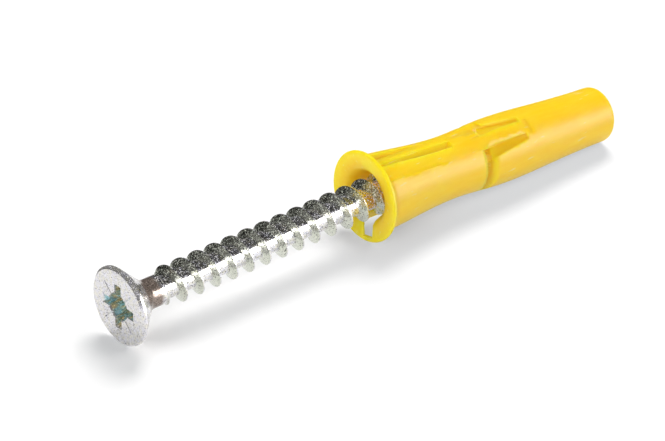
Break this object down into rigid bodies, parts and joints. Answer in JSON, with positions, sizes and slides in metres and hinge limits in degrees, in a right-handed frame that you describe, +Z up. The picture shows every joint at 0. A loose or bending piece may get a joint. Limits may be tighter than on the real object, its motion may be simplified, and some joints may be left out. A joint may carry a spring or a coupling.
{
  "type": "drywall anchor with screw",
  "caption": "Plastic wall anchor with a round collar and split, slotted body, and a countersunk cross-recess screw started in its mouth.",
  "frame": {"origin": "bottom centre of the box round both pieces as they lie on a surface, screw started in the sleeve's mouth", "axes": "+X from the screw's head to the sleeve's far end, +Z up, -Y towards the side with the sleeve's visible tongue"},
  "size_m": [0.0752, 0.0116, 0.0115],
  "materials": {
    "yellow_plastic": "injection moulded, satin",
    "zinc_plated_steel": "rolled thread, bright zinc plating with a fine grain"
  },
  "bodies": {
    "sleeve": {"anchor_sleeve": "yellow_plastic"},
    "screw": {"screw": "zinc_plated_steel"}
  },
  "joints": [
    {"name": "screw_slide", "type": "slide", "parent": "sleeve", "child": "screw", "axis": [-1, 0, 0], "range_m": [-0.002, 0.016]}
  ]
}
